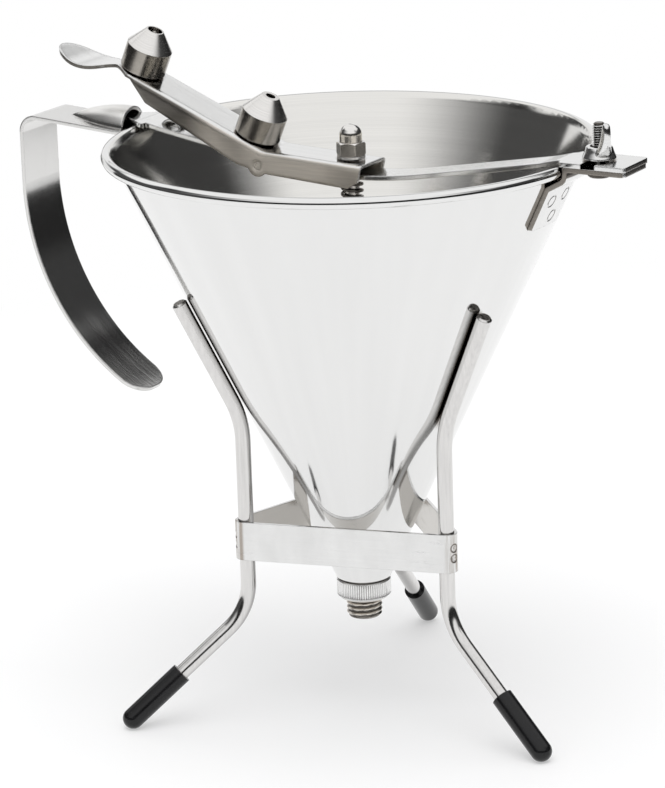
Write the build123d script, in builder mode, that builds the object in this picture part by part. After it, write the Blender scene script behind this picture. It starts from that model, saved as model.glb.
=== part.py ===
from build123d import *
import os
from math import cos, dist, pi, radians, sin, sqrt, tan

# Confectionery funnel on a three-legged stand, in millimetres and degrees.
# The cone's axis is Z, the floor is Z = 0, the handle is at -X and the bracket at +X.

os.makedirs("parts", exist_ok=True)

# Funnel cone and its rolled rim
rim_outer_radius = 95.0
rim_curl_radius = 2.2
rim_curl_sweep = 285.0
flare_radius = 7.0
flare_angle = 20.0
funnel_wall = 1.0
cone_half_angle = 25.09
neck_radius = 10.75
neck_height = 53.3

# Outlet: ferrule in the cone's tip and the nipple that screws into it
thread_radius = 7.0
thread_pitch = 2.0
thread_depth = 1.0
thread_land = 0.5
thread_chamfer = 1.0
ferrule_height = 9.0
collar_radius = 10.65
collar_height = 8.2
collar_chamfer = 1.2
collar_gap = 0.4
knurl_count = 40
knurl_side = 0.8
outlet_thread_length = 8.1
thread_relief = 1.0
spigot_radius = 8.0
spigot_length = 6.6
outlet_bore_radius = 4.5
seat_radius = 6.2

# Stand: three bent rods, a band around them and push-on foot caps
rod_radius = 3.0
leg_circle_radius = 46.3
leg_left_angle = -135.76
leg_top_height = 170.0
leg_end_chamfer = 0.7
leg_upper_bend = 40.0
leg_lower_bend = 24.0
leg_splay = 39.7
foot_reach = 94.3
cap_radius = 4.2
cap_length = 26.0
cap_rod_engagement = 21.0
band_bottom = 65.5
band_height = 15.4
band_thickness = 1.2
weld_mark_radius = 1.5
weld_mark_spacing = 4.1
weld_mark_depth = 0.25

# Cross bar: a dished flat bar that rests on the rim; insets are inside the rim and overhangs beyond it
bar_thickness = 1.8
bar_width = 14.0
bar_end_width = 20.0
bar_step_inset = 3.5
bar_step_length = 7.5
bar_step_height = 1.9
bar_flank_angle = 9.75
bar_middle_radius = 194.0
bar_step_radius = 9.0
bar_flank_radius = 20.0
bar_right_overhang = 25.0
bar_right_shoulder_inset = 2.0
bar_left_shoulder_inset = 7.0
bar_left_taper_inset = 4.5
bar_left_overhang = 4.0
bar_corner_radius = 2.0
bar_corner_share = 0.45
tongue_width = 8.4
tongue_overhang = 11.0
bridge_inset = 15.5
bridge_length = 9.5
bridge_rise = 3.0
bridge_thickness = 1.1
bridge_width = 5.0
bridge_root = 0.4

# Bracket for the bar and its clamp screw and wing nut; drops are below the top of the rim
bracket_thickness = 1.8
bracket_foot_drop = 25.2
bracket_kink_drop = 8.2
bracket_width = 20.0
bracket_bend = 2.2
bracket_corner = 1.2
leg_sector = 30.0
spot_ring_outer = 2.7
spot_ring_inner = 2.1
spot_ring_depth = 0.2
spot_places = [(-3.8, 13.7), (1.3, 20.4), (6.4, 12.9)]
screw_overhang = 10.0
screw_radius = 2.5
screw_length = 17.6
screw_head_radius = 4.4
screw_head_height = 2.6
screw_slot_clearance = 0.3
wing_hub_radius = 6.4
wing_hub_top_radius = 5.0
wing_hub_height = 5.0
wing_reach = 10.4
wing_height = 14.8
wing_thickness = 2.4
wing_root_height = 1.5
wing_tip_radius = 2.4
wing_turn = -45.0

# Handle strap with its pressed tunnel; drops are below the top of the rim
handle_thickness = 1.5
handle_width = 23.5
handle_foot_drop = 39.2
handle_kink_drop = 12.2
handle_level_overhang = 6.0
handle_knee_overhang = 2.6
handle_strap_overhang = 3.2
handle_level_radius = 20.0
handle_leg_overhang = 4.9
handle_rise_angle = 4.2
handle_back_overhang = 50.5
handle_straight_drop = 27.2
handle_corner = 7.0
handle_bow_radius = 92.0
handle_bow_sweep = 63.5
handle_tip_round = 10.0
handle_bend = 4.0
handle_leg_corner = 4.0
tunnel_radius = 8.2
tunnel_sink = 0.5
tunnel_wall = 1.3
tunnel_mouth_overhang = 4.5
tunnel_swell = 0.75
tunnel_point_overhang = 34.0

# Lever: a folded channel with a thumb leaf; places are (distance along an arm, depth below its top)
lever_width = 20.0
lever_sheet = 1.3
lever_fold_radius = 2.0
lever_bend_radius = 10.0
lever_bend_ahead = 2.0
lever_bend_above = 5.7
lever_travel = 8.0
right_arm_droop = 2.9
right_arm_length = 43.6
left_arm_rise = 23.0
left_arm_length = 66.0
right_flange = [(42.3, 6.5), (38.2, 9.2), (3.0, 8.6)]
left_flange = [(2.8, 8.8), (8.5, 9.8), (54.0, 6.8)]
left_flange_end = 63.4
pivot_place = 36.0
pin_radius = 1.5
pin_groove = 0.6
lug_radius = 4.3
leaf_corner = 72.0
leaf_dip_run = 17.0
leaf_dip_drop = 1.3
leaf_tip_run = 13.5
leaf_tip_rise = 6.5
leaf_corner_radius = 10.0
leaf_dip_radius = 25.0
leaf_length = 26.0
leaf_width = 20.0
neck_width = 10.0
neck_taper_run = 7.5
neck_fillet = 5.0

# Parked nozzles and the studs that hold them
nozzle_radius = 9.0
nozzle_skirt = 10.0
nozzle_height = 17.1
nozzle_top_radius = 3.5
nozzle_thread_depth = 9.0
nozzle_lip = 1.5
nozzle_chamfer = 0.5
large_hole_radius = 2.9
small_hole_radius = 1.9
upper_stud_place = 64.7
lower_stud_place = 8.6
stud_shoulder_radius = 7.25
stud_shoulder = 0.4
stud_length = 7.5

# Valve: rod, plug, spring and the nut that hangs the rod on the lever
plug_length = 9.0
plug_shoulder = 4.0
plug_tip_gap = 0.4
plug_tip_length = 4.0
plug_socket = 5.0
plug_rim = 1.0
spring_turns = 14
spring_pitch = 2.5
spring_wire = 1.2
spring_mean_radius = 3.85
spring_samples_per_turn = 48
spring_collar_radius = 5.6
spring_collar_height = 3.0
washer_radius = 5.5
washer_thickness = 0.9
cap_nut_flats = 10.0
cap_nut_hex_height = 5.2
cap_nut_height = 12.1
cap_nut_dome_radius = 4.35
cap_nut_corner = 0.6
cap_nut_turn = 16.0
rod_thread_reach = 8.0
rod_hole_clearance = 0.3

# Clearances
weld_gap = 0.05
moving_gap = 0.3
pin_clearance = 0.05
thread_clearance = 0.1
rest_gap = 0.2
through_all = 300.0

# Cone geometry worked out from the driving sizes
lean = radians(cone_half_angle)
lip = radians(cone_half_angle + flare_angle)
half_wall = funnel_wall / 2
curl_mid_radius = rim_curl_radius - half_wall
curl_x = rim_outer_radius - rim_curl_radius
lip_x = curl_x - curl_mid_radius * cos(lip)
flare_x = lip_x - flare_radius * (cos(lean) - cos(lip))
flare_z = neck_height + (flare_x + half_wall / cos(lean) - neck_radius) / tan(lean)
lip_z = flare_z + flare_radius * (sin(lip) - sin(lean))
curl_z = lip_z - curl_mid_radius * sin(lip)
rim_top = curl_z + rim_curl_radius


def cone_outside(z):
    """Outside radius of the cone at height z."""
    return neck_radius + (z - neck_height) * tan(lean)


def cone_inside(z):
    """Inside radius of the cone at height z."""
    return cone_outside(z) - funnel_wall / cos(lean)


def on_cone(z, gap):
    """Point that stands off the outside of the cone by a gap, level with height z on it."""
    return (cone_outside(z) + gap * cos(lean), z - gap * sin(lean))


def radial_plane(angle):
    """Upright plane through the axis: its x points outwards at the angle, its y is up."""
    turn = radians(angle)
    return Plane(origin=(0, 0, 0), x_dir=(cos(turn), sin(turn), 0), z_dir=(sin(turn), -cos(turn), 0))


def ring_grooves(plane, first, last):
    """Section of the ring grooves of a thread, between two places along the axis of the plane."""
    half_groove = (thread_pitch - thread_land) / 2
    with BuildSketch(plane) as grooves:
        for index in range(int((last - first) / thread_pitch)):
            middle = first + (2 * index + 1) * thread_pitch / 2
            with BuildLine():
                Polyline(
                    (thread_radius - thread_depth, middle),
                    (thread_radius, middle + half_groove),
                    (thread_radius + thread_depth, middle + half_groove),
                    (thread_radius + thread_depth, middle - half_groove),
                    (thread_radius, middle - half_groove),
                    close=True,
                )
            make_face()
    return grooves.sketch


# Funnel cone: one sheet, flared and rolled at the rim
inside_turn = 180 - cone_half_angle
lip_turn = inside_turn - flare_angle
curl_end_turn = lip_turn - rim_curl_sweep
flare_centre = (flare_x + flare_radius * cos(lean), flare_z - flare_radius * sin(lean))
curl_centre = (curl_x, curl_z)
curl_end = (cos(radians(curl_end_turn)), sin(radians(curl_end_turn)))
curl_inner_radius = rim_curl_radius - funnel_wall

with BuildPart() as funnel_cone:
    with BuildSketch(Plane.XZ):
        with BuildLine():
            Line(
                (cone_inside(neck_height), neck_height),
                (flare_x - half_wall * cos(lean), flare_z + half_wall * sin(lean)),
            )
            CenterArc(flare_centre, flare_radius + half_wall, inside_turn, -flare_angle)
            CenterArc(curl_centre, rim_curl_radius, lip_turn, -rim_curl_sweep)
            Line(
                (curl_x + rim_curl_radius * curl_end[0], curl_z + rim_curl_radius * curl_end[1]),
                (curl_x + curl_inner_radius * curl_end[0], curl_z + curl_inner_radius * curl_end[1]),
            )
            CenterArc(curl_centre, curl_inner_radius, curl_end_turn, rim_curl_sweep)
            CenterArc(flare_centre, flare_radius - half_wall, lip_turn, flare_angle)
            Line(
                (flare_x + half_wall * cos(lean), flare_z - half_wall * sin(lean)),
                (cone_outside(neck_height), neck_height),
            )
            Line((cone_outside(neck_height), neck_height), (cone_inside(neck_height), neck_height))
        make_face()
    revolve(axis=Axis.Z)
funnel_cone.part.label = "funnel_cone"
export_step(funnel_cone.part, "parts/funnel_cone.step")

# Neck ferrule: turned ring welded into the tip of the cone
ferrule_top = neck_height + ferrule_height
ferrule_bore = spigot_radius + thread_clearance

with BuildPart() as neck_ferrule:
    with BuildSketch(Plane.XZ):
        with BuildLine():
            Polyline(
                (ferrule_bore, neck_height),
                (cone_inside(neck_height) - weld_gap, neck_height),
                (cone_inside(ferrule_top) - weld_gap, ferrule_top),
                (ferrule_bore, ferrule_top),
                close=True,
            )
        make_face()
    revolve(axis=Axis.Z)
neck_ferrule.part.label = "neck_ferrule"
export_step(neck_ferrule.part, "parts/neck_ferrule.step")

# Outlet nipple: knurled collar, thread for the nozzles below it, spigot and valve seat above it
collar_top = neck_height - collar_gap
collar_bottom = collar_top - collar_height
nipple_bottom = collar_bottom - outlet_thread_length
thread_end = collar_bottom - thread_relief
thread_root = thread_radius - thread_depth
spigot_top = collar_top + spigot_length
seat_bottom = spigot_top - (seat_radius - outlet_bore_radius)

with BuildPart() as outlet_nipple:
    with BuildSketch(Plane.XZ):
        with BuildLine():
            Polyline(
                (outlet_bore_radius, nipple_bottom),
                (thread_radius - thread_chamfer, nipple_bottom),
                (thread_radius, nipple_bottom + thread_chamfer),
                (thread_radius, thread_end),
                (thread_root, thread_end),
                (thread_root, collar_bottom),
                (collar_radius - collar_chamfer, collar_bottom),
                (collar_radius, collar_bottom + collar_chamfer),
                (collar_radius, collar_top),
                (spigot_radius, collar_top),
                (spigot_radius, spigot_top),
                (seat_radius, spigot_top),
                (outlet_bore_radius, seat_bottom),
                close=True,
            )
        make_face()
    revolve(axis=Axis.Z)
    with BuildSketch(Plane.XY.offset(collar_bottom)):
        with PolarLocations(collar_radius, knurl_count):
            Rectangle(knurl_side, knurl_side, rotation=45)
    extrude(amount=collar_height, mode=Mode.SUBTRACT)
    revolve(
        ring_grooves(Plane.XZ, nipple_bottom + thread_chamfer / 2, thread_end),
        axis=Axis.Z,
        mode=Mode.SUBTRACT,
    )
outlet_nipple.part.label = "outlet_nipple"
export_step(outlet_nipple.part, "parts/outlet_nipple.step")

# Stand legs: each rod stands beside the cone, then runs straight and splays out to its foot
leg_gap = rod_radius + moving_gap
leg_offset = leg_gap / cos(lean)
leg_bend_z = neck_height + (leg_circle_radius - leg_offset - neck_radius) / tan(lean)
leg_top_radius = cone_outside(leg_top_height) + leg_offset
splay = radians(leg_splay)
leg_knee_z = cap_radius + (foot_reach - leg_circle_radius) * tan(splay)
cap_axis = (cos(splay), -sin(splay))
cap_mouth = (foot_reach - cap_length * cap_axis[0], cap_radius - cap_length * cap_axis[1])
leg_end = (
    cap_mouth[0] + cap_rod_engagement * cap_axis[0],
    cap_mouth[1] + cap_rod_engagement * cap_axis[1],
)
leg_angles = {
    "left": leg_left_angle,
    "right": leg_left_angle + 120,
    "back": leg_left_angle + 240,
}

for side, angle in leg_angles.items():
    upright = radial_plane(angle)
    with BuildPart() as stand_leg:
        with BuildLine(upright) as leg_line:
            FilletPolyline(
                (leg_top_radius, leg_top_height),
                (leg_circle_radius, leg_bend_z),
                (leg_circle_radius, leg_knee_z),
                leg_end,
                radius=[leg_upper_bend, leg_lower_bend],
            )
        with BuildSketch(Plane(origin=leg_line.line @ 0, z_dir=leg_line.line % 0)):
            Circle(rod_radius)
        sweep()
        leg_ends = stand_leg.edges().filter_by(GeomType.CIRCLE).group_by(Axis.Z)
        chamfer(leg_ends[-1], length=leg_end_chamfer)
    stand_leg.part.label = f"stand_leg_{side}"
    export_step(stand_leg.part, f"parts/stand_leg_{side}.step")

    cap_bore = rod_radius + weld_gap
    mouth = upright.from_local_coords((cap_mouth[0], cap_mouth[1], 0))
    along = upright.from_local_coords((cap_axis[0], cap_axis[1], 0)) - upright.origin
    cap_plane = Plane(origin=mouth, x_dir=upright.z_dir.cross(along), z_dir=upright.z_dir)
    with BuildPart() as foot_cap:
        with BuildSketch(cap_plane):
            with BuildLine():
                Polyline(
                    (cap_bore, 0),
                    (cap_radius, 0),
                    (cap_radius, -cap_length),
                )
                CenterArc((0, -cap_length), cap_radius, 0, -90)
                Polyline(
                    (0, -cap_length - cap_radius),
                    (0, -cap_rod_engagement - weld_gap),
                    (cap_bore, -cap_rod_engagement - weld_gap),
                    (cap_bore, 0),
                )
            make_face()
        revolve(axis=Axis(mouth, along))
    foot_cap.part.label = f"foot_cap_{side}"
    export_step(foot_cap.part, f"parts/foot_cap_{side}.step")

# Stand band: flat band drawn around the three legs, with its weld marks at the corners
band_inner = rod_radius + weld_gap
band_outer = band_inner + band_thickness

with BuildPart() as stand_band:
    for radius, mode in ((band_outer, Mode.ADD), (band_inner, Mode.SUBTRACT)):
        with BuildSketch(Plane.XY.offset(band_bottom)):
            with PolarLocations(leg_circle_radius, len(leg_angles), start_angle=leg_left_angle):
                Circle(radius)
            make_hull()
        extrude(amount=band_height, mode=mode)
    for angle in leg_angles.values():
        corner = radial_plane(angle)
        mark_place = corner.from_local_coords(
            (leg_circle_radius + band_outer, band_bottom + band_height / 2, 0)
        )
        with BuildSketch(Plane(origin=mark_place, z_dir=corner.x_dir)):
            with Locations((0, weld_mark_spacing / 2), (0, -weld_mark_spacing / 2)):
                Circle(weld_mark_radius)
        extrude(amount=-weld_mark_depth, mode=Mode.SUBTRACT)
stand_band.part.label = "stand_band"
export_step(stand_band.part, "parts/stand_band.step")

# Cross bar: dished strip with a clamped right end, a tongue at the left and the rod hole in the middle
bar_seat = rim_top + rest_gap
bar_end_top = bar_seat + bar_thickness
bar_step_end = rim_outer_radius - bar_step_inset
bar_step_start = bar_step_end - bar_step_length
bar_right_end = rim_outer_radius + bar_right_overhang
bar_right_shoulder = rim_outer_radius - bar_right_shoulder_inset
bar_left_shoulder = rim_outer_radius - bar_left_shoulder_inset
bar_left_taper = rim_outer_radius - bar_left_taper_inset
bar_left_end = rim_outer_radius + bar_left_overhang
tongue_end = rim_outer_radius + tongue_overhang
bridge_centre = rim_outer_radius - bridge_inset
screw_place = rim_outer_radius + screw_overhang
bar_flank_top = bar_end_top - bar_step_height
flank = radians(bar_flank_angle)
bar_vertex = bar_flank_top - bar_step_start * tan(flank)
bar_middle_top = bar_vertex + bar_middle_radius * (1 / cos(flank) - 1)
bar_middle_bottom = bar_middle_top - bar_thickness


def bar_flank_height(x):
    """Top of the bar's straight flank at a distance x from the middle."""
    return bar_vertex + x * tan(flank)


pivot_z = bar_flank_height(pivot_place) - (bar_thickness + pin_radius - pin_groove) / cos(flank)
bridge_start = bridge_centre + bridge_length / 2
bridge_finish = bridge_centre - bridge_length / 2
screw_slot_width = 2 * (screw_radius + screw_slot_clearance)
shoulder_limit = bar_corner_share * (bar_end_width - bar_width) / 2

with BuildPart() as cross_bar:
    with BuildSketch(Plane.XZ):
        with BuildLine():
            FilletPolyline(
                (-tongue_end, bar_end_top),
                (-bar_step_end, bar_end_top),
                (-bar_step_start, bar_flank_top),
                (0, bar_vertex),
                (bar_step_start, bar_flank_top),
                (bar_step_end, bar_end_top),
                (bar_right_end, bar_end_top),
                radius=[
                    bar_step_radius,
                    bar_flank_radius,
                    bar_middle_radius,
                    bar_flank_radius,
                    bar_step_radius,
                ],
            )
            offset(amount=bar_thickness, side=Side.RIGHT)
        make_face()
    extrude(amount=bar_end_width / 2, both=True)
    with BuildSketch(Plane.XY) as bar_plan:
        with Locations(((bar_right_shoulder - bar_left_shoulder) / 2, 0)):
            Rectangle(bar_right_shoulder + bar_left_shoulder, bar_width)
        with Locations(((bar_right_end + bar_right_shoulder) / 2, 0)):
            Rectangle(bar_right_end - bar_right_shoulder, bar_end_width)
        Polygon(
            (-bar_left_shoulder, bar_end_width / 2),
            (-bar_left_taper, bar_end_width / 2),
            (-bar_left_end, tongue_width / 2),
            (-bar_left_end, -tongue_width / 2),
            (-bar_left_taper, -bar_end_width / 2),
            (-bar_left_shoulder, -bar_end_width / 2),
            align=None,
        )
        with Locations((-(tongue_end + bar_left_end) / 2, 0)):
            Rectangle(tongue_end - bar_left_end, tongue_width)
        fillet(bar_plan.vertices(), radius=min(bar_corner_radius, shoulder_limit))
        with Locations((screw_place, -bar_end_width / 2)):
            SlotCenterToCenter(bar_end_width, screw_slot_width, rotation=90, mode=Mode.SUBTRACT)
        Circle(rod_radius + rod_hole_clearance, mode=Mode.SUBTRACT)
    extrude(amount=through_all, mode=Mode.INTERSECT)
    with BuildSketch(Plane.XZ):
        with Locations((-pivot_place, pivot_z)):
            Circle(pin_radius + weld_gap)
    extrude(amount=bar_width, both=True, mode=Mode.SUBTRACT)
    with BuildSketch(Plane.XY):
        with Locations((-bridge_centre, 0)):
            Rectangle(bridge_length - 2 * bridge_thickness, bridge_width)
    extrude(amount=through_all, mode=Mode.SUBTRACT)
    with BuildSketch(Plane.XZ):
        with BuildLine():
            outer_arch = ThreePointArc(
                (-bridge_start, bar_flank_height(bridge_start) - bridge_root),
                (-bridge_centre, bar_flank_height(bridge_centre) + bridge_rise),
                (-bridge_finish, bar_flank_height(bridge_finish) - bridge_root),
            )
            inner_arch = ThreePointArc(
                (-bridge_start + bridge_thickness, bar_flank_height(bridge_start) - bridge_root),
                (-bridge_centre, bar_flank_height(bridge_centre) + bridge_rise - bridge_thickness),
                (-bridge_finish - bridge_thickness, bar_flank_height(bridge_finish) - bridge_root),
            )
            Line(outer_arch @ 0, inner_arch @ 0)
            Line(outer_arch @ 1, inner_arch @ 1)
        make_face()
    extrude(amount=bridge_width / 2, both=True)
cross_bar.part.label = "cross_bar"
export_step(cross_bar.part, "parts/cross_bar.step")

# Pivot pin: lies in the groove under the bar and carries the lever's lugs
with BuildPart() as pivot_pin:
    with BuildSketch(Plane.XZ):
        with Locations((-pivot_place, pivot_z)):
            Circle(pin_radius)
    extrude(amount=lever_width / 2, both=True)
pivot_pin.part.label = "pivot_pin"
export_step(pivot_pin.part, "parts/pivot_pin.step")

# Bracket: curved leg welded to the cone, bent around the rim into the flange that carries the bar
bracket_top = bar_seat - weld_gap
bracket_foot_height = rim_top - bracket_foot_drop
bracket_kink_height = rim_top - bracket_kink_drop
bracket_inner = rim_outer_radius + moving_gap

with BuildPart() as bar_bracket:
    with BuildSketch(radial_plane(-leg_sector / 2)):
        with BuildLine():
            FilletPolyline(
                on_cone(bracket_foot_height, weld_gap),
                on_cone(bracket_kink_height, weld_gap),
                (bracket_inner, rim_top - 2 * rim_curl_radius),
                (bracket_inner, bracket_top),
                (bar_right_end, bracket_top),
                radius=[bracket_bend, bracket_bend, 0],
            )
            offset(amount=bracket_thickness, side=Side.RIGHT)
        make_face()
    revolve(axis=Axis.Z, revolution_arc=leg_sector)
    with BuildSketch(Plane.XY) as bracket_plan:
        Rectangle(bar_right_end - moving_gap, bracket_width, align=(Align.MIN, Align.CENTER))
        fillet(bracket_plan.vertices().group_by(Axis.X)[-1], radius=bar_corner_radius)
        with Locations((screw_place, 0)):
            Circle(screw_radius + weld_gap, mode=Mode.SUBTRACT)
    extrude(amount=through_all, mode=Mode.INTERSECT)
    with BuildSketch(Plane.YZ) as bracket_front:
        with Locations((0, bracket_foot_height)):
            Rectangle(bracket_width, through_all, align=(Align.CENTER, Align.MIN))
        fillet(bracket_front.vertices().group_by(Axis.Y)[0], radius=bracket_corner)
    extrude(amount=through_all, mode=Mode.INTERSECT)
    for across, drop in spot_places:
        height = rim_top - drop
        turn = across / cone_outside(height)
        face_r, face_z = on_cone(height, weld_gap + bracket_thickness)
        outwards = (cos(lean) * cos(turn), cos(lean) * sin(turn), -sin(lean))
        with BuildSketch(Plane(origin=(face_r * cos(turn), face_r * sin(turn), face_z), z_dir=outwards)):
            Circle(spot_ring_outer)
            Circle(spot_ring_inner, mode=Mode.SUBTRACT)
        extrude(amount=-spot_ring_depth, mode=Mode.SUBTRACT)
bar_bracket.part.label = "bar_bracket"
export_step(bar_bracket.part, "parts/bar_bracket.step")

# Clamp screw: stands up through the bracket and the bar's open slot
screw_seat = bracket_top - bracket_thickness

with BuildPart() as clamp_screw:
    with BuildSketch(Plane.XY.offset(screw_seat - weld_gap)):
        with Locations((screw_place, 0)):
            Circle(screw_radius)
    extrude(amount=screw_length)
    chamfer(clamp_screw.edges().group_by(Axis.Z)[-1], length=screw_radius / 4)
    with BuildSketch(Plane.XY.offset(screw_seat - weld_gap)):
        with Locations((screw_place, 0)):
            Circle(screw_head_radius)
    extrude(amount=-screw_head_height)
clamp_screw.part.label = "clamp_screw"
export_step(clamp_screw.part, "parts/clamp_screw.step")

# Wing nut: turned hub with one upswept wing
wing_base = bar_end_top + moving_gap
wing_direction = (cos(radians(wing_turn)), sin(radians(wing_turn)), 0)
wing_normal = (sin(radians(wing_turn)), -cos(radians(wing_turn)), 0)
wing_plane = Plane(origin=(screw_place, 0, wing_base), x_dir=wing_direction, z_dir=wing_normal)
wing_bore = screw_radius + pin_clearance

with BuildPart() as wing_nut:
    with BuildSketch(wing_plane) as wing_sketch:
        with BuildLine():
            Polyline(
                (wing_bore, wing_root_height),
                (wing_hub_radius, wing_root_height),
                (wing_reach, wing_height - 2 * wing_tip_radius),
                (wing_reach, wing_height),
                (wing_reach - 2 * wing_tip_radius, wing_height),
                (wing_bore, wing_hub_height - wing_root_height),
                close=True,
            )
        make_face()
        fillet(wing_sketch.vertices().group_by(Axis.Y)[-1], radius=wing_tip_radius / 2)
    extrude(amount=wing_thickness / 2, both=True)
    with BuildSketch(wing_plane):
        with BuildLine():
            Polyline(
                (0, 0),
                (wing_hub_radius, 0),
                (wing_hub_top_radius, wing_hub_height),
                (0, wing_hub_height),
                close=True,
            )
        make_face()
    revolve(axis=Axis((screw_place, 0, wing_base), (0, 0, 1)))
    with BuildSketch(Plane.XY.offset(wing_base)):
        with Locations((screw_place, 0)):
            Circle(wing_bore)
    extrude(amount=through_all, mode=Mode.SUBTRACT)
wing_nut.part.label = "wing_nut"
export_step(wing_nut.part, "parts/wing_nut.step")

# Handle: curved leg welded to the cone under the rim, a level plate and a bowed grip
handle_top = curl_z
handle_level_end = rim_outer_radius + handle_level_overhang
handle_leg_end = rim_outer_radius + handle_leg_overhang
handle_knee = rim_outer_radius + handle_knee_overhang
handle_strap_start = rim_outer_radius + handle_strap_overhang
handle_back = rim_outer_radius + handle_back_overhang
handle_foot_height = rim_top - handle_foot_drop
handle_kink_height = rim_top - handle_kink_drop
handle_straight_height = rim_top - handle_straight_drop
handle_rise = radians(handle_rise_angle)
handle_bow_centre = (handle_bow_radius - handle_back, handle_straight_height)
handle_corner_z = handle_top + (handle_back - handle_level_end) * tan(handle_rise)

with BuildPart() as handle_leg:
    with BuildSketch(radial_plane(180 - leg_sector / 2)):
        with BuildLine():
            FilletPolyline(
                on_cone(handle_foot_height, weld_gap),
                on_cone(handle_kink_height, weld_gap),
                (handle_knee, handle_top),
                (handle_leg_end, handle_top),
                radius=[handle_bend, handle_bend],
            )
            offset(amount=handle_thickness, side=Side.RIGHT)
        make_face()
    revolve(axis=Axis.Z, revolution_arc=leg_sector)
    with BuildSketch(Plane.YZ) as handle_front:
        with Locations((0, handle_foot_height - handle_thickness)):
            Rectangle(handle_width, through_all, align=(Align.CENTER, Align.MIN))
        fillet(handle_front.vertices().group_by(Axis.Y)[0], radius=handle_leg_corner)
    extrude(amount=-through_all, mode=Mode.INTERSECT)

# Tunnel pressed up out of the handle's plate: a half round that narrows to a point in a curve
tunnel_start = tunnel_mouth_overhang - handle_level_overhang
tunnel_finish = tunnel_point_overhang - handle_level_overhang
tunnel_plane = Plane(
    origin=(-handle_level_end, 0, handle_top - tunnel_sink),
    x_dir=(-cos(handle_rise), 0, sin(handle_rise)),
    z_dir=(-sin(handle_rise), 0, -cos(handle_rise)),
)
tunnel_axis = Axis(tunnel_plane.origin, -tunnel_plane.x_dir)
tunnel_taper = (tunnel_finish - tunnel_start) / tunnel_radius / 2


def tunnel_half(wall):
    """Half of the tunnel's outline on the plate, inside its skin by a wall."""
    radius = tunnel_radius - wall
    point = tunnel_finish - wall * tunnel_taper
    with BuildSketch(tunnel_plane) as outline:
        with BuildLine():
            Polyline((point, 0), (tunnel_start, 0), (tunnel_start, radius))
            ThreePointArc(
                (tunnel_start, radius),
                ((tunnel_start + point) / 2, tunnel_swell * radius),
                (point, 0),
            )
        make_face()
    return outline.sketch


with BuildPart() as handle:
    with BuildSketch(Plane.XZ):
        with BuildLine():
            FilletPolyline(
                (-handle_strap_start, handle_top),
                (-handle_level_end, handle_top),
                (-handle_back, handle_corner_z),
                (-handle_back, handle_straight_height),
                radius=[handle_level_radius, handle_corner],
            )
            CenterArc(handle_bow_centre, handle_bow_radius, 180, handle_bow_sweep)
            offset(amount=handle_thickness, side=Side.LEFT)
        make_face()
    extrude(amount=handle_width / 2, both=True)
    tip_face = handle.faces().sort_by(Axis.Z)[0]
    fillet(tip_face.edges().filter_by(Axis.Y, reverse=True), radius=handle_tip_round)
    add(handle_leg.part)
    revolve(tunnel_half(0), axis=tunnel_axis, revolution_arc=180)
    revolve(tunnel_half(tunnel_wall), axis=tunnel_axis, revolution_arc=180, mode=Mode.SUBTRACT)
    with BuildSketch(tunnel_plane):
        add(tunnel_half(tunnel_wall))
        mirror(about=Plane.XZ)
    extrude(amount=2 * handle_thickness, mode=Mode.SUBTRACT)
handle.part.label = "handle"
export_step(handle.part, "parts/handle.step")

# Lever: folded channel that straddles the bar and turns on the pivot pin
bend_x = lever_bend_ahead - pivot_place
bend_z = pivot_z + lever_bend_above
droop = radians(right_arm_droop)
rise = radians(left_arm_rise)
travel = radians(lever_travel)


def right_arm(along, depth):
    """Point of the lever's right arm, measured from the bend."""
    return (
        bend_x + along * cos(droop) - depth * sin(droop),
        bend_z - along * sin(droop) - depth * cos(droop),
    )


def left_arm(along, depth):
    """Point of the lever's left arm, measured from the bend."""
    return (
        bend_x - along * cos(rise) - depth * sin(rise),
        bend_z + along * sin(rise) - depth * cos(rise),
    )


def below_bend(depth):
    """Corner of the two arms at a depth below their tops."""
    slant = depth / cos((rise - droop) / 2)
    return (bend_x - slant * sin((rise + droop) / 2), bend_z - slant * cos((rise + droop) / 2))


def lever_top(x):
    """Top of the lever's right arm at a place x."""
    return bend_z - (x - bend_x) * tan(droop)


leaf_start = left_arm(left_arm_length, 0)
leaf_knee = left_arm(leaf_corner, 0)
leaf_dip = (leaf_knee[0] - leaf_dip_run, leaf_knee[1] - leaf_dip_drop)
leaf_tip = (leaf_dip[0] - leaf_tip_run, leaf_dip[1] + leaf_tip_rise)
leaf_middle = leaf_tip[0] + leaf_length / 2
neck_start = leaf_start[0] - neck_taper_run
slot_half_width = rod_radius + rod_hole_clearance
slot_run = pivot_place * (1 - cos(travel)) + (lever_top(0) - pivot_z) * sin(travel)

with BuildPart() as thumb_leaf:
    with BuildSketch(Plane.XZ):
        with BuildLine():
            FilletPolyline(
                leaf_start,
                leaf_knee,
                leaf_dip,
                leaf_tip,
                radius=[leaf_corner_radius, leaf_dip_radius],
            )
            offset(amount=lever_sheet, side=Side.LEFT)
        make_face()
    extrude(amount=leaf_width, both=True)
    with BuildSketch(Plane.XY) as leaf_plan:
        with Locations((leaf_middle, 0)):
            Ellipse(leaf_length / 2, leaf_width / 2)
        with BuildLine():
            Polyline(
                (leaf_start[0] + lever_sheet, lever_width / 2),
                (leaf_start[0], lever_width / 2),
                (neck_start, neck_width / 2),
                (leaf_middle, neck_width / 2),
                (leaf_middle, -neck_width / 2),
                (neck_start, -neck_width / 2),
                (leaf_start[0], -lever_width / 2),
                (leaf_start[0] + lever_sheet, -lever_width / 2),
                close=True,
            )
        make_face()
        neck_corners = leaf_plan.vertices().filter_by(
            lambda corner: leaf_middle < corner.X < leaf_start[0] - lever_sheet
        )
        fillet(neck_corners, radius=neck_fillet)
    extrude(amount=through_all, mode=Mode.INTERSECT)

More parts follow.
